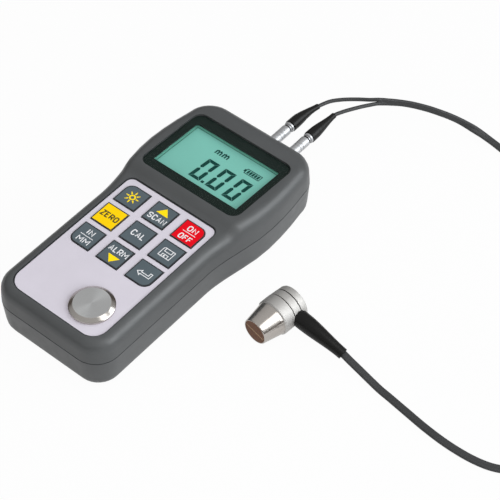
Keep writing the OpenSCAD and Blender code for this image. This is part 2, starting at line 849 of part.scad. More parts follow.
module probe_body() {
    color([0.68, 0.69, 0.7])
    difference() {
        on_probe_axis() translate([0, 0, nose_length]) rotate_extrude($fn = 64) {
            r = barrel_diameter / 2;
            g = r - groove_depth;
            l = barrel_length;
            polygon([[0, 0], [r - 0.5, 0], [r, 0.6], [r, 6], [g, 6.15], [g, 6.4], [r - 0.1, 6.55],
                     [r - 0.2, 10.2], [g - 0.2, 10.35], [g - 0.2, 10.6], [r - 0.3, 10.75],
                     [r - 0.4, l - 1], [r - 0.7, l - 0.3], [r - 1.3, l],
                     [cap_diameter / 2 + 0.05, l], [cap_diameter / 2 + 0.05, l - 1.2], [0, l - 1.2]]);
        }
        in_probe() translate([0, nose_length + boot_set, 0]) rotate([0, 90, 0])
            cylinder(d = 6.1, h = 20);
    }
}

module probe_cap() {
    color([0.62, 0.63, 0.64])
    on_probe_axis() translate([0, 0, nose_length + barrel_length - 1.2])
        cylinder(d = cap_diameter, h = 1.2, $fn = 64);
}

// centre line and radius of the probe's boot at the share t of its length, in the probe's frame
function probe_boot_point(t) =
    [barrel_diameter / 2 - 1.9 + 26.4 * t, nose_length + boot_set + 1.8 * t * t, -4.5 * t * t];
function probe_boot_radius(t) = 4.15 - 1.5 * smooth(1.2 * t - 0.2);

module probe_boot() {
    color([0.07, 0.07, 0.08])
    union() {
        difference() {
            in_probe() tube([for (i = [0:12])
                let (t = i / 12, p = probe_boot_point(t),
                     h = unit(probe_boot_point(t + 0.02) - probe_boot_point(t - 0.02)))
                tube_ring(p, h, round_section(probe_boot_radius(t), 14), 0)]);
            on_probe_axis() cylinder(d = barrel_diameter + 0.1, h = 60, $fn = 64);
        }
        in_probe() translate([2, nose_length + boot_set, 0]) rotate([0, 90, 0])
            cylinder(d = 6, h = barrel_diameter / 2 + 1);
    }
}

upper_case();
lower_case();
battery_door();
case_screws();
keypad_panel();
keypad_mat();
key_backlight();
key_scan();
key_power();
key_zero();
key_calibrate();
key_save();
key_units();
key_alarm();
key_enter();
zero_disc();
display_window();
display_mask();
lcd_panel();
backlight_panel();
lcd_holder();
main_board();
board_screws();
buzzer();
battery_cell_left();
battery_cell_right();
battery_springs();
battery_contacts();
socket_left();
socket_right();
socket_nuts();
plug_core_left();
plug_core_right();
plug_sleeve_left();
plug_sleeve_right();
plug_nut_left();
plug_nut_right();
plug_boot_left();
plug_boot_right();
lead_left();
lead_right();
cable_out_run();
cable_coil();
cable_tie();
cable_in_run();
probe_nose();
probe_delay_upper();
probe_delay_lower();
probe_barrier();
probe_body();
probe_cap();
probe_boot();
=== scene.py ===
"""Looks of a hand-held ultrasonic thickness gauge with its twin-lead angled probe."""
import math

import bmesh
import bpy
from mathutils import Matrix, Vector


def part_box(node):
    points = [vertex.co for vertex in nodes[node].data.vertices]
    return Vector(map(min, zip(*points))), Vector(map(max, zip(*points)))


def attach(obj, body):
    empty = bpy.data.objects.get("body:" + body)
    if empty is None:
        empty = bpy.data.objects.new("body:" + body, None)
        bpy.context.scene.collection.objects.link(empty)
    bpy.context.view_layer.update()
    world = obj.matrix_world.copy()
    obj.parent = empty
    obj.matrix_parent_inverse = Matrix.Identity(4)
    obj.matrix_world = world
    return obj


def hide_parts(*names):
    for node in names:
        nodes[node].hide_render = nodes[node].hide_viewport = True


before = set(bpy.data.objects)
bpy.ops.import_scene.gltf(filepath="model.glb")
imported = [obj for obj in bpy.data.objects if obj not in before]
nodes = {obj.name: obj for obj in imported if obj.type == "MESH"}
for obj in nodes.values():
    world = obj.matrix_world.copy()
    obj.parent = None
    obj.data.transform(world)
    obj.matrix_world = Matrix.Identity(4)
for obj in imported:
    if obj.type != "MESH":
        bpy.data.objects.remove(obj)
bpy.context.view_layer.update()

MM = 0.001

# Camera, in millimetres of the part's frame
EYE = Vector((373.49, -385.6, 635.83))
TARGET = Vector((43.89, 11.86, 29.36))
LENS = 130.17
SENSOR = 36

# Keypad and display, as in the part's source
KEY_PITCH = (17, 15)
KEY_SIZE = (12.4, 12.2)
KEY_CORNER = 4
KEY_INNER_CORNER = 0.5
KEY_Y = -13
DISPLAY_Y = 40.8
HEAD_HEIGHT = 31.3
HEAD_TILT = 3.2
LCD_DEPTH = 3.4
LCD_SIZE = (53.5, 35.3)
LCD_BORDER = 2.1
PANEL_CORNERS = (7.85, 3.85)

# Places that the materials follow, as in the part's source
PARTING = 18
PLUG_HEIGHT = 18
PROBE_AT = (64.5, -9.7, 8.9)
PROBE_TURN = -5.7
DISC_AT = (11.8, -55.6, 29)

# Half the band of painted shade at the parting line, where the jacket's colours meet along Y, and the
# barrel's grooves,
# which get painted shade: their limits from the probe's face, and a radius between their floor and the
# barrel's surface
SEAM_SHADE_HALF = 0.22
CELL_SPLIT = 2.7
BARREL_GROOVES = (13.6, 22.4)
BARREL_FLOOR = 8.55

# The part of the gap behind a plug's sleeve that gets painted shade, and a radius that takes in both plugs
SLEEVE_GAP = (-1, 0.8)
PLUG_REACH = 30

# Distances within which the points of a solid and of a print are merged
WELD = 0.005
PRINT_WELD = 0.001

# Half the thickness of a print, and the widths of printed lines; the panel's line is painted shade
PRINT = 0.02
LINE = 0.38
KEY_LINE = 0.5
PANEL_SHADE_LINE = 0.52

# Cable, as in the part's source: x, y, z, and for the twin its roll in degrees
LEAD = 1.9
LEFT_LEAD = [(4.3, 107, 18), (5, 110.2, 18), (7.2, 116.2, 18), (10.3, 120.4, 17.9), (13.8, 123.9, 17.8),
             (17.4, 127.1, 17.6), (21.2, 129.9, 17.6), (23.6, 131.9, 17.7), (25.4, 133.6, 17.5)]
RIGHT_LEAD = [(14.6, 104.6, 18), (14.6, 110.2, 18), (16.7, 115.4, 18), (19.2, 120.3, 17.8),
              (21.3, 124.6, 17.3), (23.2, 128.3, 16.7), (24.7, 130.9, 16.4), (26.2, 132.8, 16)]
CABLE_OUT = [(24.3, 131.7, 17, 45), (28.2, 135.6, 16.2, 70), (32.2, 139.7, 15, 90), (36.2, 142.7, 14.2, 90),
             (40.3, 145.4, 13.2, 90), (44.5, 148, 12, 90), (48.8, 150.4, 10.6, 90), (53.2, 152.8, 9, 90),
             (57.9, 154.9, 7.2, 85), (63.1, 156.5, 5.3, 55), (68.1, 157.6, 3.6, 25), (73.9, 158.1, 2, 0),
             (80.1, 157.8, 1, 0), (88, 156, 1, 0), (97, 152.3, 1.35, 15), (107, 147, 1.75, 50),
             (117, 141.6, 1.95, 90), (130, 134.6, 1.95, 90), (146, 126, 1.95, 90), (160, 118.4, 1.95, 90),
             (174, 110.8, 1.95, 90), (185, 104.3, 1.95, 90), (194.3, 98.4, 2.3, 90)]
CABLE_IN = [(215.1, 62.2, 6.4, 90), (211.6, 50.6, 5.2, 90), (208.6, 42, 3.9, 80), (205.4, 33, 2.5, 50),
            (202, 24.6, 1.4, 15), (197.6, 16, 1, 0), (191.4, 8.6, 1, 0), (183.6, 3.6, 1, 0),
            (174, 1.2, 1, 0), (162, 0.6, 1, 0), (150, 1.4, 1, 0), (139, 2.9, 1, 0), (128.6, 4.4, 1, 0),
            (122.5, 5.2, 1, 0), (116.5, 6.1, 1.6, 0), (110.2, 7, 2.5, 0), (104.2, 7.7, 3.6, 0),
            (100.05, 8.25, 4.4, 0), (98, 8.5, 4.8, 0)]
COIL_AT = (190.5, 72.2)
COIL_RADII = (18.9, 24.4)
COIL_ANGLES = (62, 1)
COIL_TURNS = 5
COIL_LAYERS = (2.55, 6.5)
COIL_RAMP = 50


def srgb(r, g, b):
    """A colour written in screen values, as the shader's linear one."""
    def linear(v):
        v /= 255
        return v / 12.92 if v <= 0.04045 else ((v + 0.055) / 1.055) ** 2.4
    return (linear(r), linear(g), linear(b), 1)


# Materials

SHEEN = "Specular IOR Level"
# Most values of a noise lie between these
NOISE_LOW = 0.3
NOISE_HIGH = 0.7
# Blotches of tone and of shine in millimetres, and how far turning marks are drawn out round their axis
TONE_SIZE = 14
SHINE_SIZE = 5
MARK_STRETCH = 300


def fill_ramp(ramp, stops):
    """Sets a colour ramp to pairs of place and colour."""
    elements = ramp.color_ramp.elements
    while len(elements) < len(stops):
        elements.new(0.5)
    for i, (place, colour) in enumerate(stops):
        elements[i].position = place
        elements[i].color = colour


class Shader:
    """A node material round one Principled shader."""

    def __init__(self, name, **sockets):
        self.mat = bpy.data.materials.new(name)
        self.mat.use_nodes = True
        self.tree = self.mat.node_tree
        self.bsdf = self.tree.nodes["Principled BSDF"]
        for key, value in sockets.items():
            self.bsdf.inputs[key].default_value = value

    def node(self, kind, **settings):
        made = self.tree.nodes.new("ShaderNode" + kind)
        for key, value in settings.items():
            setattr(made, key, value)
        return made

    def feed(self, socket, source):
        """Links an input to an output, or sets it to a plain value."""
        if isinstance(source, bpy.types.NodeSocket):
            self.tree.links.new(source, socket)
        else:
            socket.default_value = source

    def calculate(self, operation, *terms):
        """A Math node over outputs and plain numbers."""
        made = self.node("Math", operation=operation)
        for socket, term in zip(made.inputs, terms):
            self.feed(socket, term)
        return made.outputs["Value"]

    def along(self, vector, letter):
        """A vector's part along X, Y or Z."""
        made = self.node("SeparateXYZ")
        self.feed(made.inputs["Vector"], vector)
        return made.outputs[letter]

    def reach(self, vector, mask):
        """A vector's length over the axes that are 1 in a mask."""
        flat = self.node("VectorMath", operation="MULTIPLY")
        self.feed(flat.inputs[0], vector)
        self.feed(flat.inputs[1], mask)
        length = self.node("VectorMath", operation="LENGTH")
        self.feed(length.inputs[0], flat.outputs["Vector"])
        return length.outputs["Value"]

    def coords(self, stretch=(1, 1, 1), origin=(0, 0, 0), turn=(0, 0, 0)):
        """Object coordinates about an origin in millimetres, stretched along its axes."""
        place = self.node("Mapping", vector_type="TEXTURE")
        place.inputs["Location"].default_value = [v * MM for v in origin]
        place.inputs["Rotation"].default_value = [math.radians(v) for v in turn]
        place.inputs["Scale"].default_value = stretch
        self.feed(place.inputs["Vector"], self.node("TexCoord").outputs["Object"])
        return place.outputs["Vector"]

    def noise(self, size, detail=2, vector=None):
        """Noise whose blotches are about this many millimetres across."""
        made = self.node("TexNoise")
        made.inputs["Scale"].default_value = 1 / (size * MM)
        made.inputs["Detail"].default_value = detail
        self.feed(made.inputs["Vector"], vector or self.coords())
        return made.outputs["Fac"]

    def span(self, value, low, high, start=0, end=1):
        """A value between two limits mapped to another span, and held beyond its ends."""
        made = self.node("MapRange")
        for key, limit in (("From Min", low), ("From Max", high), ("To Min", start), ("To Max", end)):
            made.inputs[key].default_value = limit
        self.feed(made.inputs["Value"], value)
        return made.outputs["Result"]

    def tint(self, fac, *stops):
        """The base colour from a factor, by pairs of place and colour."""
        ramp = self.node("ValToRGB")
        fill_ramp(ramp, stops)
        self.feed(ramp.inputs["Fac"], fac)
        self.feed(self.bsdf.inputs["Base Color"], ramp.outputs["Color"])

    def tone(self, fac, colour, darker, lighter):
        """The base colour from a noise, between two shades of one colour."""
        self.tint(fac, (NOISE_LOW, shade(colour, darker)), (NOISE_HIGH, shade(colour, lighter)))

    def rough(self, fac, low, high):
        """Roughness from a noise."""
        self.feed(self.bsdf.inputs["Roughness"], self.span(fac, NOISE_LOW, NOISE_HIGH, low, high))

    def bump(self, fac, height, strength=1.0):
        """Relief of this many millimetres."""
        made = self.node("Bump")
        made.inputs["Strength"].default_value = strength
        made.inputs["Distance"].default_value = height * MM
        self.feed(made.inputs["Height"], fac)
        self.feed(self.bsdf.inputs["Normal"], made.outputs["Normal"])

    def change(self, name, other, fac):
        """Gives an input of the shader another value where a factor is 0, and leaves it where it is 1."""
        socket = self.bsdf.inputs[name]
        # The Mix node keeps the inputs and outputs of every data type, so theirs are found by number
        kind, first, result = ("RGBA", 6, 2) if socket.type == "RGBA" else ("FLOAT", 2, 0)
        mix = self.node("Mix", data_type=kind)
        now = socket.links[0].from_socket
        self.feed(mix.inputs[0], fac)
        self.feed(mix.inputs[first], other)
        self.feed(mix.inputs[first + 1], now)
        self.feed(socket, mix.outputs[result])


def shade(colour, factor):
    return tuple(min(c * factor, 1) for c in colour[:3]) + (1,)


def moulded(name, colour, rough=(0.42, 0.55), grain=0.35, relief=0.012, spread=0.08, sheen=0.5, **sockets):
    """Plastic or rubber with fine grain and slight change of tone."""
    s = Shader(name, **sockets)
    s.tone(s.noise(TONE_SIZE, 3), colour, 1 - spread, 1 + spread)
    s.rough(s.noise(SHINE_SIZE, 3), *rough)
    s.bump(s.noise(grain, 2), relief, 0.6)
    s.bsdf.inputs[SHEEN].default_value = sheen
    return s


def turned(name, colour, origin, axis, rough=(0.18, 0.3), mark=0.12, relief=0.002, spread=0.1):
    """Metal with turning marks round an axis: x, y or z, after a turn about Z in degrees."""
    s = Shader(name, Metallic=1.0)
    letter, turn = axis
    stretch = [1 if other == letter else MARK_STRETCH for other in "xyz"]
    lines = s.noise(mark, 2, s.coords(stretch, origin, (0, 0, turn)))
    s.tone(lines, colour, 1 - spread, 1 + spread)
    s.rough(lines, *rough)
    s.bump(lines, relief, 0.5)
    return s


def seam_shaded(name, colour, height, half, fade=1.6, darker=0.65, sheen=0.5, **settings):
    """Moulded plastic with painted shade: darker and duller in a narrow band at the height of the case's
    parting line.
    """
    s = moulded(name, colour, **settings)
    away = s.calculate("ABSOLUTE", s.along(s.coords(origin=(0, 0, height)), "Z"))
    beyond = s.span(away, half * MM, fade * half * MM)
    s.change("Base Color", shade(colour, darker), beyond)
    s.feed(s.bsdf.inputs[SHEEN], s.calculate("MULTIPLY", beyond, sheen))
    return s


def flanked(s, height, dark_below=0.06, clear_above=0.02):
    """Makes a key's material dark from just below its top, so that its flanks read as a line."""
    top = s.span(s.along(s.coords(), "Z"), (height - dark_below) * MM, (height - clear_above) * MM)
    s.change("Base Color", PRINT_AND_SHADE_COLOUR, top)


def groove_shaded(name, colour, origin, turn, radius, limits, **settings):
    """Turned metal along Y, with painted shade where it lies under a radius between two limits along the
    axis.
    """
    s = turned(name, colour, origin, ("y", turn), **settings)
    place = s.coords(origin=origin, turn=(0, 0, turn))
    under = s.calculate("LESS_THAN", s.reach(place, (1, 0, 1)), radius * MM)
    after = s.calculate("GREATER_THAN", s.along(place, "Y"), limits[0] * MM)
    before = s.calculate("LESS_THAN", s.along(place, "Y"), limits[1] * MM)
    inside = s.calculate("MULTIPLY", s.calculate("MULTIPLY", under, after), before)
    s.change("Base Color", GROOVE_SHADE_COLOUR, s.calculate("SUBTRACT", 1, inside))
    return s


def faced(name, colour, flank, origin, rough=(0.2, 0.32), mark=0.15, relief=0.002, flank_rough=0.17,
          slopes=(0.85, 0.98), brushed=0.8):
    """Metal with turning rings on a face across Z, smoother on its sloping flank, which gets painted shade
    as a darker, warmer tone.
    """
    s = Shader(name, Metallic=1.0)
    rings = s.node("TexNoise", noise_dimensions="1D")
    rings.inputs["Scale"].default_value = 1 / (mark * MM)
    s.feed(rings.inputs["W"], s.reach(s.coords(origin=origin), (1, 1, 0)))
    marks = rings.outputs["Fac"]
    s.tone(marks, colour, 0.9, 1.06)
    s.rough(marks, *rough)
    s.bump(marks, relief, 0.4)
    level = s.span(s.along(s.node("NewGeometry").outputs["Normal"], "Z"), *slopes)
    # Painted shade on the sloping flank: a darker, warmer tone in place of what the flank reflects
    s.change("Base Color", flank, level)
    s.change("Roughness", flank_rough, level)
    s.feed(s.bsdf.inputs["Anisotropic"], s.calculate("MULTIPLY", level, brushed))
    round_axis = s.node("Tangent", direction_type="RADIAL", axis="Z")
    s.feed(s.bsdf.inputs["Tangent"], round_axis.outputs["Tangent"])
    return s


def clear_window():
    """Plastic that is all but clear."""
    s = Shader("window_clear", Alpha=0.06, Roughness=0.05)
    s.tint(s.noise(20), (NOISE_LOW, srgb(12, 26, 22)), (NOISE_HIGH, srgb(18, 34, 30)))
    return s


def liquid_crystal():
    """Pale green display with a faint grain, soft changes of tone and a faint painted glow."""
    colour = srgb(119, 189, 175)
    s = Shader("lcd_green", Roughness=0.5)
    s.tint(s.noise(30, 1), (0.25, shade(colour, 0.94)), (0.75, shade(colour, 1.05)))
    # Painted light: a faint glow that lifts the display out of the shade of its recess
    s.bsdf.inputs["Emission Color"].default_value = colour
    s.bsdf.inputs["Emission Strength"].default_value = 0.12
    s.bump(s.noise(0.3, 1), 0.004, 0.3)
    return s


def jacket(split):
    """A plain two-colour battery jacket, whose colours meet at this place along the cell."""
    s = Shader("cell_jacket", Metallic=0.4)
    place = s.coords(origin=(0, split, 0), stretch=(1, 0.03, 1))
    s.tint(s.along(place, "Y"), (0, srgb(30, 30, 32)), (0.01, srgb(190, 140, 60)))
    s.rough(s.noise(6), 0.22, 0.35)
    return s


# Settings that several materials share
SATIN = {"rough": (0.45, 0.55), "grain": 0.25, "relief": 0.004}
INKED = {"rough": (0.45, 0.55), "relief": 0.002}
ON_GLASS = {"rough": (0.5, 0.6), "relief": 0.002, "spread": 0.04}
PLATED = {"rough": (0.42, 0.48), "relief": 0.0003, "spread": 0.03}
# Dark print on the keys, also used as painted shade where the panel meets its recess
PRINT_AND_SHADE_COLOUR = srgb(46, 48, 50)
# Painted shade in the barrel's grooves and in the gap behind a plug's sleeve
GROOVE_SHADE_COLOUR = srgb(16, 15, 14)
PLUG_COLOUR = srgb(202, 203, 205)
PLUG_AT = (0, 0, PLUG_HEIGHT)
SLEEVE_END = (0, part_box("plug_sleeve_left")[1].y / MM, PLUG_HEIGHT)

shaders = {
    # The case gets a band of painted shade along its parting line
    "case": seam_shaded("case_plastic", srgb(71, 73, 74), PARTING, SEAM_SHADE_HALF, rough=(0.3, 0.38), relief=0.006,
                   spread=0.05),
    "screw": moulded("black_screw", srgb(52, 52, 54), rough=(0.3, 0.4), grain=0.2, Metallic=0.8),
    "panel": moulded("panel_film", srgb(203, 198, 208), spread=0.02, **SATIN),
    "mat": moulded("mat_rubber", srgb(60, 60, 62), rough=(0.6, 0.7)),
    "slate": moulded("key_slate", srgb(81, 92, 98), spread=0.05, sheen=0.25, **SATIN),
    "red": moulded("key_red", srgb(220, 0, 22), spread=0.04, sheen=0.12, **SATIN),
    "yellow": moulded("key_yellow", srgb(247, 204, 0), spread=0.03, sheen=0.12, **SATIN),
    # Dark print, also the painted shade round the panel
    "line": moulded("print_and_shade_dark", PRINT_AND_SHADE_COLOUR, rough=(0.5, 0.6), relief=0.002, spread=0.05, sheen=0.2),
    # The disc's second colour is painted shade on its flank
    "disc": faced("disc_steel", srgb(214, 215, 215), srgb(192, 187, 182), DISC_AT, rough=(0.3, 0.4)),
    "window": clear_window(),
    "mask": moulded("mask_black", srgb(17, 30, 26), rough=(0.4, 0.5), grain=0.6, relief=0.001, spread=0.05,
                    sheen=0.2),
    "lcd": liquid_crystal(),
    "border": moulded("lcd_border", srgb(122, 206, 184), **ON_GLASS),
    "edge": moulded("lcd_edge", srgb(52, 112, 96), **ON_GLASS),
    "light": moulded("light_white", srgb(232, 236, 232), rough=(0.4, 0.5), spread=0.02),
    "holder": moulded("holder_black", srgb(42, 42, 44)),
    "board": moulded("board_green", srgb(24, 92, 58), rough=(0.3, 0.4), grain=0.5, relief=0.01),
    "steel": moulded("bright_steel", srgb(196, 196, 198), rough=(0.2, 0.32), grain=0.2, relief=0.003,
                     Metallic=1.0),
    "cell": jacket(CELL_SPLIT),
    "plug": turned("plug_metal", PLUG_COLOUR, PLUG_AT, ("y", 0), **PLATED),
    # Painted shade in the gap behind each plug's sleeve
    "core": groove_shaded("plug_core", PLUG_COLOUR, SLEEVE_END, 0, PLUG_REACH, SLEEVE_GAP, **PLATED),
    "brass": turned("plug_brass", srgb(190, 172, 120), PLUG_AT, ("y", 0), rough=(0.2, 0.3)),
    "boot": moulded("boot_rubber", srgb(9, 9, 8), rough=(0.34, 0.42), grain=0.4, relief=0.006, sheen=0.3),
    "cord": moulded("cord_black", srgb(47, 48, 49), rough=(0.4, 0.5), grain=0.5, relief=0.001),
    "tie": moulded("tie_strap", srgb(40, 40, 43), rough=(0.7, 0.85), grain=0.25, relief=0.05),
    "nose": turned("nose_steel", srgb(196, 190, 184), PROBE_AT, ("y", PROBE_TURN), rough=(0.15, 0.19),
                   relief=0.0001, spread=0.03),
    # Painted shade in the barrel's grooves
    "barrel": groove_shaded("barrel_metal", srgb(206, 204, 201), PROBE_AT, PROBE_TURN, BARREL_FLOOR,
                      BARREL_GROOVES, rough=(0.58, 0.68), relief=0.0006, spread=0.04),
    "delay": moulded("delay_brown", srgb(106, 66, 40), rough=(0.35, 0.45), grain=0.4, relief=0.004,
                     spread=0.18, sheen=0.2),
    "barrier": moulded("barrier_cork", srgb(176, 146, 112), rough=(0.6, 0.7), grain=0.3),
    "white": moulded("print_white", srgb(228, 228, 230), spread=0.02, **INKED),
    "sun": moulded("print_yellow", srgb(250, 218, 10), spread=0.03, sheen=0.15, **INKED),
    "ink": moulded("print_ink", srgb(84, 74, 14), spread=0.05, **INKED),
    "segment": moulded("lcd_segment", srgb(0, 62, 56), rough=(0.5, 0.6), relief=0.001, spread=0.05,
                       sheen=0.2),
}
for look in ("slate", "red", "yellow"):
    flanked(shaders[look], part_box("key_zero")[1].z / MM)
looks = {look: shader.mat for look, shader in shaders.items()}

LOOK_OF = {
    "case": ["upper_case", "lower_case", "battery_door"],
    "screw": ["case_screws"],
    "panel": ["keypad_panel"],
    "mat": ["keypad_mat"],
    "slate": ["key_backlight", "key_scan", "key_calibrate", "key_save", "key_units", "key_alarm",
              "key_enter"],
    "red": ["key_power"],
    "yellow": ["key_zero"],
    "disc": ["zero_disc"],
    "window": ["display_window"],
    "mask": ["display_mask"],
    "lcd": ["lcd_panel"],
    "light": ["backlight_panel"],
    "holder": ["lcd_holder", "buzzer"],
    "board": ["main_board"],
    "steel": ["board_screws", "battery_springs", "battery_contacts"],
    "cell": ["battery_cell_left", "battery_cell_right"],
    "plug": ["socket_left", "socket_right", "plug_sleeve_left", "plug_sleeve_right", "plug_nut_left",
             "plug_nut_right"],
    "core": ["plug_core_left", "plug_core_right"],
    "brass": ["socket_nuts"],
    "boot": ["plug_boot_left", "plug_boot_right", "probe_boot"],
    "cord": ["lead_left", "lead_right", "cable_out_run", "cable_coil", "cable_in_run"],
    "tie": ["cable_tie"],
    "nose": ["probe_nose"],
    "barrel": ["probe_body", "probe_cap"],
    "delay": ["probe_delay_upper", "probe_delay_lower"],
    "barrier": ["probe_barrier"],
}

# Edge rounding of the solids, in millimetres
EDGE = {"battery_door": 0.25, "keypad_panel": 0.1, "display_window": 0.15, "zero_disc": 0.12,
        "probe_nose": 0.1, "probe_cap": 0.2, "cable_tie": 0.3, "case_screws": 0.15}
EDGE.update({n: 0.22 for n in nodes if n.startswith("key_")})
EDGE.update({n: 0.1 for n in nodes if n.startswith(("plug_sleeve", "plug_nut", "socket_l", "socket_r"))})

# Angle in degrees from which an edge is rounded, and how much further one has to turn to stay sharp
SMOOTH_ANGLE = 32
ROUNDED_FROM = {"zero_disc": 18, "probe_body": 20}
SPLIT_MORE = 10


def dress(node, look):
    """Gives a solid its material, rounded edges and smooth shading."""
    mesh = node.data
    mesh.materials.clear()
    mesh.materials.append(look)
    if "custom_normal" in mesh.attributes:
        mesh.attributes.remove(mesh.attributes["custom_normal"])
    mesh.shade_smooth()
    weld = node.modifiers.new("weld", "WELD")
    weld.merge_threshold = WELD * MM
    angle = ROUNDED_FROM.get(node.name, SMOOTH_ANGLE)
    if node.name in EDGE:
        bevel = node.modifiers.new("edge", "BEVEL")
        bevel.width = EDGE[node.name] * MM
        bevel.segments = 2
        bevel.limit_method = "ANGLE"
        bevel.angle_limit = math.radians(angle)
    split = node.modifiers.new("split", "EDGE_SPLIT")
    split.split_angle = math.radians(angle + SPLIT_MORE)
    if node.name in EDGE:
        node.modifiers.new("flat", "WEIGHTED_NORMAL")


for look, names in LOOK_OF.items():
    for name in names:
        dress(nodes[name], looks[look])


# Pieces

def add(name, mesh, look, body):
    """A new piece in the part's frame, riding on a body."""
    piece = bpy.data.objects.new(name, mesh)
    bpy.context.scene.collection.objects.link(piece)
    mesh.materials.append(look)
    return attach(piece, body)


def mesh_from(name, bm):
    mesh = bpy.data.meshes.new(name)
    bm.to_mesh(mesh)
    bm.free()
    return mesh


def printed(name, faces, place, look, body):
    """Flat print from outlines in millimetres, on the plane z=0 of a placing matrix."""
    bm = bmesh.new()
    for outline in faces:
        flat = bm.faces.new([bm.verts.new((x, y, -PRINT)) for x, y in outline])
        raised = bmesh.ops.extrude_face_region(bm, geom=[flat])["geom"]
        upper = [v for v in raised if isinstance(v, bmesh.types.BMVert)]
        bmesh.ops.translate(bm, vec=(0, 0, 2 * PRINT), verts=upper)
    bmesh.ops.remove_doubles(bm, verts=bm.verts, dist=PRINT_WELD)
    bmesh.ops.recalc_face_normals(bm, faces=bm.faces)
    mesh = mesh_from(name, bm)
    mesh.transform(Matrix.Scale(MM, 4) @ place)
    return add(name, mesh, look, body)


# Narrow capitals as strokes in a unit box, and the width of each against the others
GLYPHS = {
    "A": (1, [[(0, 0), (0.5, 1), (1, 0)], [(0.2, 0.3), (0.8, 0.3)]]),
    "C": (1, [[(1, 0.76), (0.76, 1), (0.24, 1), (0, 0.8), (0, 0.2), (0.24, 0), (0.76, 0), (1, 0.24)]]),
    "E": (0.9, [[(1, 0), (0, 0), (0, 1), (1, 1)], [(0, 0.52), (0.8, 0.52)]]),
    "F": (0.9, [[(0, 0), (0, 1), (1, 1)], [(0, 0.5), (0.8, 0.5)]]),
    "I": (0.05, [[(0.5, 0), (0.5, 1)]]),
    "L": (0.85, [[(0, 1), (0, 0), (1, 0)]]),
    "M": (1.4, [[(0, 0), (0, 1), (0.5, 0.4), (1, 1), (1, 0)]]),
    "N": (1, [[(0, 0), (0, 1), (1, 0), (1, 1)]]),
    "O": (1, [[(0.5, 0), (0.24, 0), (0, 0.2), (0, 0.8), (0.24, 1), (0.76, 1), (1, 0.8), (1, 0.2), (0.76, 0),
               (0.5, 0)]]),
    "R": (1, [[(0, 0), (0, 1), (0.76, 1), (1, 0.85), (1, 0.62), (0.76, 0.47), (0, 0.47)],
              [(0.5, 0.47), (1, 0)]]),
    "S": (1, [[(1, 0.8), (0.76, 1), (0.24, 1), (0, 0.82), (0, 0.68), (0.24, 0.53), (0.76, 0.47), (1, 0.32),
               (1, 0.18), (0.76, 0), (0.24, 0), (0, 0.2)]]),
    "Z": (0.95, [[(0, 1), (1, 1), (0, 0), (1, 0)]]),
    "m": (1.1, [[(0, 0), (0, 1)], [(0, 0.7), (0.25, 1), (0.5, 0.7), (0.5, 0)],
                [(0.5, 0.7), (0.75, 1), (1, 0.7), (1, 0)]]),
}
LETTER_GAP = 0.55


def stroke(points, width, least=0.5):
    """An open line of this width with mitred corners, which are cut short where they turn sharply."""
    points = [Vector(p) for p in points]
    sides = []
    for i, p in enumerate(points):
        a = (p - points[max(i - 1, 0)]).normalized()
        b = (points[min(i + 1, len(points) - 1)] - p).normalized()
        a, b = (a if i else b), (b if i < len(points) - 1 else a)
        across = Vector((-a.y - b.y, a.x + b.x)) / max(1 + a.dot(b), least) * width / 2
        sides.append((tuple(p + across), tuple(p - across)))
    return [[a[0], a[1], b[1], b[0]] for a, b in zip(sides, sides[1:])]


def lettering(word, x0, x1, y0, y1, width=0.54):
    """A word in narrow strokes fitted to a box."""
    total = sum(GLYPHS[c][0] for c in word) + LETTER_GAP * (len(word) - 1)
    unit = (x1 - x0 - width) / total
    tall = y1 - y0 - width
    x, y = x0 + width / 2, y0 + width / 2
    made = []
    for c in word:
        wide, lines = GLYPHS[c]
        for line in lines:
            made += stroke([(x + u * wide * unit, y + v * tall) for u, v in line], width)
        x += (wide + LETTER_GAP) * unit
    return made


def box_outline(x0, x1, y0, y1):
    return [(x0, y0), (x1, y0), (x1, y1), (x0, y1)]


def bar(x0, x1, y0, y1):
    """An upright rectangle as the one face of a print."""
    return [box_outline(x0, x1, y0, y1)]


def outline_of(points, width, least=0.2):
    """A closed line of this width inside an outline that runs anticlockwise, with mitred corners."""
    inner = []
    for i, point in enumerate(points):
        p = Vector(point)
        a = (p - Vector(points[i - 1])).normalized()
        b = (Vector(points[(i + 1) % len(points)]) - p).normalized()
        across = Vector((-a.y - b.y, a.x + b.x)) / max(1 + a.dot(b), least)
        inner.append(tuple(p + across * width))
    n = len(points)
    return [[points[i], points[(i + 1) % n], inner[(i + 1) % n], inner[i]] for i in range(n)]


def sun_rays(x, y, near, far, width, count=8):
    """Tapered rays round a sun."""
    made = []
    for i in range(count):
        c, s = math.cos(2 * math.pi * i / count), math.sin(2 * math.pi * i / count)
        made.append([(x + c * near - s * width / 2, y + s * near + c * width / 2),
                     (x + c * near + s * width / 2, y + s * near - c * width / 2),
                     (x + c * far + s * width / 6, y + s * far - c * width / 6),
                     (x + c * far - s * width / 6, y + s * far + c * width / 6)])
    return made


def ring_of(x, y, inner, outer, steps=24):
    """A flat ring."""
    points = []
    for i in range(steps):
        a, b = 2 * math.pi * i / steps, 2 * math.pi * (i + 1) / steps
        points.append([(x + inner * math.cos(a), y + inner * math.sin(a)),
                       (x + outer * math.cos(a), y + outer * math.sin(a)),
                       (x + outer * math.cos(b), y + outer * math.sin(b)),
                       (x + inner * math.cos(b), y + inner * math.sin(b))])
    return points


def on_key(col, row, node):
    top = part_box(node)[1].z / MM
    return Matrix.Translation((col * KEY_PITCH[0], KEY_Y + row * KEY_PITCH[1], top))


def round_corners(corners, steps):
    """An anticlockwise outline from corners, each with its centre, radius and first angle in degrees."""
    made = []
    for x, y, radius, start in corners:
        for i in range(steps + 1):
            a = math.radians(start + 90 * i / steps)
            made.append((x + radius * math.cos(a), y + radius * math.sin(a)))
    return made


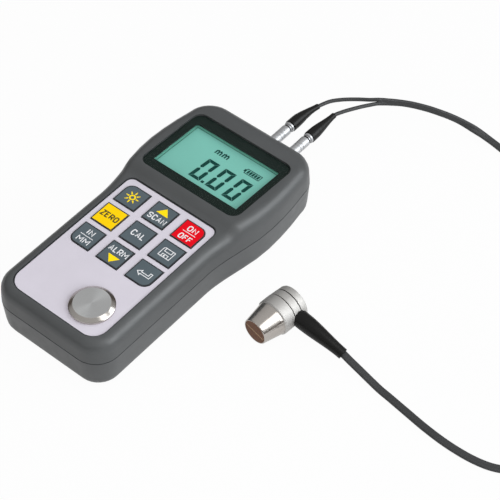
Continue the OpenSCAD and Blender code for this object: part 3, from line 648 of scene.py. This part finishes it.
def key_outline(col, row):
    """A key seen from above; the keypad's four corner keys have a round outer corner."""
    wide, tall = KEY_SIZE[0] / 2, KEY_SIZE[1] / 2
    corners = []
    for sx, sy, start in ((1, -1, -90), (1, 1, 0), (-1, 1, 90), (-1, -1, 180)):
        radius = KEY_CORNER if (sx, sy) == (col, row) else KEY_INNER_CORNER
        corners.append((sx * (wide - radius), sy * (tall - radius), radius, start))
    return round_corners(corners, 6)


ENTER = [(-3.7, -0.5), (-1.3, -2.4), (-1.3, -1.3), (3.8, -1.3), (3.8, 1.9), (2.3, 1.9), (2.3, 0.2),
         (-1.3, 0.2), (-1.3, 1.4)]
SAVE = [(-3.1, -2.9), (3.4, -2.9), (3.4, 2.4), (-2.4, 2.4), (-3.1, 1.7)]
legends = [
    ("key_backlight", -1, 1, "sun", ring_of(0.2, -0.1, 0.9, 1.65) + sun_rays(0.2, -0.1, 2, 3.7, 0.85)),
    ("key_scan", 0, 1, "sun", [[(-3, 0.5), (3.7, 0.5), (0.3, 4.6)]]),
    ("key_scan", 0, 1, "white", lettering("SCAN", -4.9, 5.1, -4.2, -0.9)),
    ("key_power", 1, 1, "white", lettering("ON", -2.6, 2.8, 0.8, 4) + bar(-3.6, 3.5, -0.25, 0.1)
     + lettering("OFF", -3.3, 3.7, -4.7, -1.5)),
    ("key_zero", -1, 0, "ink", lettering("ZERO", -5, 4.9, -1.7, 1.8, 0.7)),
    ("key_calibrate", 0, 0, "white", lettering("CAL", -3.5, 3.9, -1.8, 1.7)),
    ("key_save", 1, 0, "white", outline_of(SAVE, LINE) + bar(-1.9, -1.5, 0.2, 2) + bar(1.9, 2.3, 0.2, 2)
     + bar(-1.5, 1.9, 0.2, 0.55) + bar(-1.6, -1.2, -2.5, -0.9) + bar(1.5, 1.9, -2.5, -0.9)
     + bar(-1.2, 1.5, -1.25, -0.9) + bar(-0.5, 0.3, -2.4, -1.5)),
    ("key_units", -1, -1, "white", lettering("IN", -1.6, 2.2, 0.8, 4) + bar(-3.5, 3.7, -0.4, -0.05)
     + lettering("MM", -3.1, 3.8, -4.6, -1.3)),
    ("key_alarm", 0, -1, "white", lettering("ALRM", -5.1, 5.3, 0.5, 3.9)),
    ("key_alarm", 0, -1, "sun", [[(-3, -1), (0.4, -5), (3.6, -1)]]),
    ("key_enter", 1, -1, "white", outline_of(ENTER, LINE)),
]
legends += [(node, col, row, "line", outline_of(key_outline(col, row), KEY_LINE))
            for node, col, row in sorted({legend[:3] for legend in legends})]
for node, col, row, look, faces in legends:
    printed("legend_" + node[len("key_"):] + "_" + look, faces, on_key(col, row, node), looks[look], node)


# Painted shade: a dark line where the panel meets its recess, in place of the shadow at the recess wall

def plate_outline(low, high, near, far):
    """A plate seen from above, with its own corner radius at each end."""
    corners = ((high.x - near, low.y + near, near, -90), (high.x - far, high.y - far, far, 0),
               (low.x + far, high.y - far, far, 90), (low.x + near, low.y + near, near, 180))
    return round_corners(corners, 9)


low, high = (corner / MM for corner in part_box("keypad_panel"))
printed("panel_recess_shade", outline_of(plate_outline(low, high, *PANEL_CORNERS), PANEL_SHADE_LINE),
        Matrix.Translation((0, 0, high.z)), looks["line"], "gauge")


# Display

in_display = (Matrix.Translation((0, DISPLAY_Y, HEAD_HEIGHT))
              @ Matrix.Rotation(math.radians(-HEAD_TILT), 4, "X")
              @ Matrix.Translation((0, 0, -LCD_DEPTH)))

# Lean of the signs, width of a digit's bars and half the cut between two of them
SLANT = 0.06
SEGMENT = 1.85
CUT = 0.09

# Places on the display in millimetres from its centre; boxes are left, right, low, high
DIGIT_SIZE = (6.5, 14.5)
DIGITS_X = (-7.5, 2.4, 12.3)
DIGITS_Y = -11.4
POINT = (-0.2, 1.3, DIGITS_Y, -9.9)
UNIT = (-7.9, -0.2, 7.2, 10.5)
BATTERY = (10.7, 19.5, 6.4, 9.9)
BATTERY_TIP = (9.9, 10.7, 7.3, 9)
BATTERY_BAR = (11.7, 12.8, 7.1, 9.2)
BATTERY_STEP = 1.45

# Widths of lines on the display
UNIT_LINE = 0.75
BATTERY_LINE = 0.42
EDGE_LINE = 0.4


def leaning(faces, base):
    """Faces that lean to the right above a base line."""
    return [[(u + SLANT * (v - base), v) for u, v in face] for face in faces]


def zero(x, y, wide, tall):
    """A nought in six mitred bars, leaning to the right."""
    w, g, mid = SEGMENT, CUT, tall / 2
    top = [(g, tall), (wide - g, tall), (wide - w - g, tall - w), (w + g, tall - w)]
    side = [(0, tall - g), (0, mid + g + w / 2), (w / 2, mid + g), (w, mid + g + w / 2), (w, tall - w - g)]
    bars = []
    for bar_points in (top, side, [(wide - u, v) for u, v in side]):
        bars += [bar_points, [(u, tall - v) for u, v in bar_points]]
    return leaning([[(x + u, y + v) for u, v in points] for points in bars], y)


def battery_sign():
    """A battery with five bars and its tip to the left."""
    made = outline_of(box_outline(*BATTERY), BATTERY_LINE) + bar(*BATTERY_TIP)
    left, right, low, high = BATTERY_BAR
    for i in range(5):
        made += bar(left + BATTERY_STEP * i, right + BATTERY_STEP * i, low, high)
    return leaning(made, BATTERY[2])


display = []
for x in DIGITS_X:
    display += zero(x, DIGITS_Y, *DIGIT_SIZE)
display += leaning(bar(*POINT), DIGITS_Y)
display += leaning(lettering("mm", *UNIT, UNIT_LINE), UNIT[2]) + battery_sign()
printed("display_segments", display, in_display, looks["segment"], "gauge")

across, up = LCD_SIZE[0] / 2, LCD_SIZE[1] / 2
printed("display_border", outline_of(box_outline(-across, across, -up, up), LCD_BORDER), in_display,
        looks["border"], "gauge")
across, up = across - LCD_BORDER, up - LCD_BORDER
printed("display_edge", outline_of(box_outline(-across, across, -up, up), EDGE_LINE), in_display,
        looks["edge"], "gauge")


# Cords

def smooth_route(points, step=1.3):
    """A smooth line through route points, in millimetres."""
    points = [Vector(p) for p in points]
    made = []
    for i in range(len(points) - 1):
        a, b = points[max(i - 1, 0)], points[i]
        c, d = points[i + 1], points[min(i + 2, len(points) - 1)]
        count = max(2, round((Vector(c[:3]) - Vector(b[:3])).length / step))
        for k in range(count):
            t = k / count
            made.append(0.5 * (2 * b + (c - a) * t + (2 * a - 5 * b + 4 * c - d) * t ** 2
                               + (3 * b - a - 3 * c + d) * t ** 3))
    return made + [points[-1]]


def swept(name, route, section):
    """A closed tube along a route whose fourth value is the roll of its section."""
    bm = bmesh.new()
    rings = []
    for i, place in enumerate(route):
        p = Vector(place[:3])
        ahead, behind = route[min(i + 1, len(route) - 1)], route[max(i - 1, 0)]
        along = (Vector(ahead[:3]) - Vector(behind[:3])).normalized()
        side = Vector((-along.y, along.x, 0)).normalized()
        up = along.cross(side)
        roll = math.radians(place[3]) if len(place) > 3 else 0
        c, s = math.cos(roll), math.sin(roll)
        rings.append([bm.verts.new((p + side * (u * c - v * s) + up * (u * s + v * c)) * MM)
                      for u, v in section])
    n = len(section)
    for a, b in zip(rings, rings[1:]):
        for i in range(n):
            bm.faces.new((a[i], a[(i + 1) % n], b[(i + 1) % n], b[i]))
    bm.faces.new(rings[0])
    bm.faces.new(reversed(rings[-1]))
    bmesh.ops.recalc_face_normals(bm, faces=bm.faces)
    for face in bm.faces:
        face.smooth = len(face.verts) == 4
    return mesh_from(name, bm)


def coil_route(step=4):
    """Turns of the stored cable: in along the bottom layer, up, and out along the top one."""
    sweep = COIL_TURNS * 360 + COIL_ANGLES[0] - COIL_ANGLES[1]
    layer = (sweep - COIL_RAMP) / 2
    inner, outer = COIL_RADII
    low, high = COIL_LAYERS
    made = []
    for angle in range(0, round(sweep), step):
        down = min(angle / layer, 1)
        up = max((angle - layer - COIL_RAMP) / layer, 0)
        climb = min(max((angle - layer) / COIL_RAMP, 0), 1)
        radius = outer - (outer - inner) * (down - up)
        height = low + (high - low) * climb * climb * (3 - 2 * climb)
        a = math.radians(COIL_ANGLES[0] - angle)
        made.append((COIL_AT[0] + radius * math.cos(a), COIL_AT[1] + radius * math.sin(a), height, 90))
    return made


def round_section(radius, count=16):
    return [(radius * math.cos(2 * math.pi * i / count), radius * math.sin(2 * math.pi * i / count))
            for i in range(count)]


def twin_section(radius, count=7):
    """Two leads side by side, joined by a narrow web."""
    made = []
    for centre, start in ((radius, -135), (-radius, 45)):
        for i in range(count):
            a = math.radians(start + 270 * i / (count - 1))
            made.append((centre + radius * math.cos(a), radius * math.sin(a)))
    return made


for side, points in (("left", LEFT_LEAD), ("right", RIGHT_LEAD)):
    route = smooth_route(points)
    name = "lead_cord_" + side
    lead = add(name, swept(name, route, round_section(LEAD / 2)), looks["cord"], "gauge")
    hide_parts("lead_" + side)

route = smooth_route(CABLE_OUT + coil_route() + CABLE_IN)
twin = add("twin_cable", swept("twin_cable", route, twin_section(LEAD / 2)), looks["cord"], "gauge")
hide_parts("cable_out_run", "cable_coil", "cable_in_run")


# Stage, light and camera

# How white the floor is to the camera, and how much of that a mirroring surface sees
FLOOR_GLOW = 0.96
FLOOR_MIRRORED = 0.45
FLOOR_HALF = 4
FLOOR_AT = (0.05, 0.03, -0.05 * MM)

# The world's light by the sine of its height: warm and dim along the horizon, white above
SKY = [(0, (0.12, 0.1, 0.09, 1)), (0.22, (0.1, 0.085, 0.075, 1)), (0.34, (0.42, 0.42, 0.42, 1)),
       (1, (0.62, 0.62, 0.62, 1))]


def add_floor():
    """A floor that takes shadows, and that the camera sees all but white."""
    bm = bmesh.new()
    bmesh.ops.create_grid(bm, x_segments=1, y_segments=1, size=FLOOR_HALF)
    mesh = mesh_from("floor", bm)
    floor = bpy.data.objects.new("floor", mesh)
    floor.location = FLOOR_AT
    bpy.context.scene.collection.objects.link(floor)
    s = Shader("floor_white", Roughness=0.9)
    s.tint(s.noise(400), (NOISE_LOW, srgb(198, 198, 198)), (NOISE_HIGH, srgb(202, 202, 202)))
    s.bsdf.inputs[SHEEN].default_value = 0.0
    glow = s.node("Emission")
    glow.inputs["Color"].default_value = (1, 1, 1, 1)
    rays = s.node("LightPath").outputs
    mirrored = s.calculate("MULTIPLY", rays["Is Glossy Ray"], FLOOR_MIRRORED)
    seen = s.calculate("MAXIMUM", rays["Is Camera Ray"], mirrored)
    seen = s.calculate("MAXIMUM", seen, rays["Is Transmission Ray"])
    mix = s.node("MixShader")
    s.feed(mix.inputs["Fac"], s.calculate("MULTIPLY", seen, FLOOR_GLOW))
    s.feed(mix.inputs[1], s.bsdf.outputs["BSDF"])
    s.feed(mix.inputs[2], glow.outputs["Emission"])
    s.feed(s.tree.nodes["Material Output"].inputs["Surface"], mix.outputs["Shader"])
    mesh.materials.append(s.mat)


def add_world():
    """Soft white light from above, over a dim band along the horizon."""
    world = bpy.data.worlds.new("studio")
    world.use_nodes = True
    bpy.context.scene.world = world
    tree = world.node_tree
    axes = tree.nodes.new("ShaderNodeSeparateXYZ")
    tree.links.new(tree.nodes.new("ShaderNodeTexCoord").outputs["Generated"], axes.inputs["Vector"])
    ramp = tree.nodes.new("ShaderNodeValToRGB")
    fill_ramp(ramp, SKY)
    tree.links.new(axes.outputs["Z"], ramp.inputs["Fac"])
    background = tree.nodes["Background"]
    tree.links.new(ramp.outputs["Color"], background.inputs["Color"])
    background.inputs["Strength"].default_value = 1.0


def add_lamp(name, place, target, size, watts, colour=(1, 1, 1), mirrored=True, lights=True):
    """An area lamp, which can be left out of reflections or be seen in them alone."""
    data = bpy.data.lights.new(name, "AREA")
    data.shape = "RECTANGLE"
    data.size, data.size_y = size
    data.energy = watts
    data.color = colour
    lamp = bpy.data.objects.new(name, data)
    lamp.location = place
    lamp.visible_glossy = mirrored
    lamp.visible_diffuse = lights
    lamp.rotation_euler = (Vector(target) - Vector(place)).to_track_quat("-Z", "Y").to_euler()
    bpy.context.scene.collection.objects.link(lamp)


def add_camera():
    data = bpy.data.cameras.new("camera")
    data.lens = LENS
    data.sensor_width = SENSOR
    camera = bpy.data.objects.new("camera", data)
    camera.location = EYE * MM
    camera.rotation_euler = (TARGET - EYE).to_track_quat("-Z", "Y").to_euler()
    bpy.context.scene.collection.objects.link(camera)
    bpy.context.scene.camera = camera


# Lamps, in metres: most of them face the case, and the strip faces the probe
AIM = (0.03, 0.0, 0.02)
PROBE_AIM = (0.065, -0.01, 0.01)
add_floor()
add_world()
add_lamp("right_softbox", (0.94, 0.6, 0.52), AIM, (1.25, 0.78), 10, (0.93, 0.97, 1))
add_lamp("right_fill", (1.0, -0.35, 0.45), AIM, (0.7, 0.5), 5.4, mirrored=False)
add_lamp("probe_strip", (0.635, 0.12, 0.78), PROBE_AIM, (0.4, 0.7), 1.6, lights=False)
add_lamp("front_softbox", (-0.2, -1.1, 0.6), AIM, (0.9, 0.6), 0.3)
add_lamp("top_softbox", (0.4, -0.3, 1.2), AIM, (0.8, 0.8), 5.2, mirrored=False)
add_camera()
bpy.context.scene.view_settings.view_transform = "Standard"
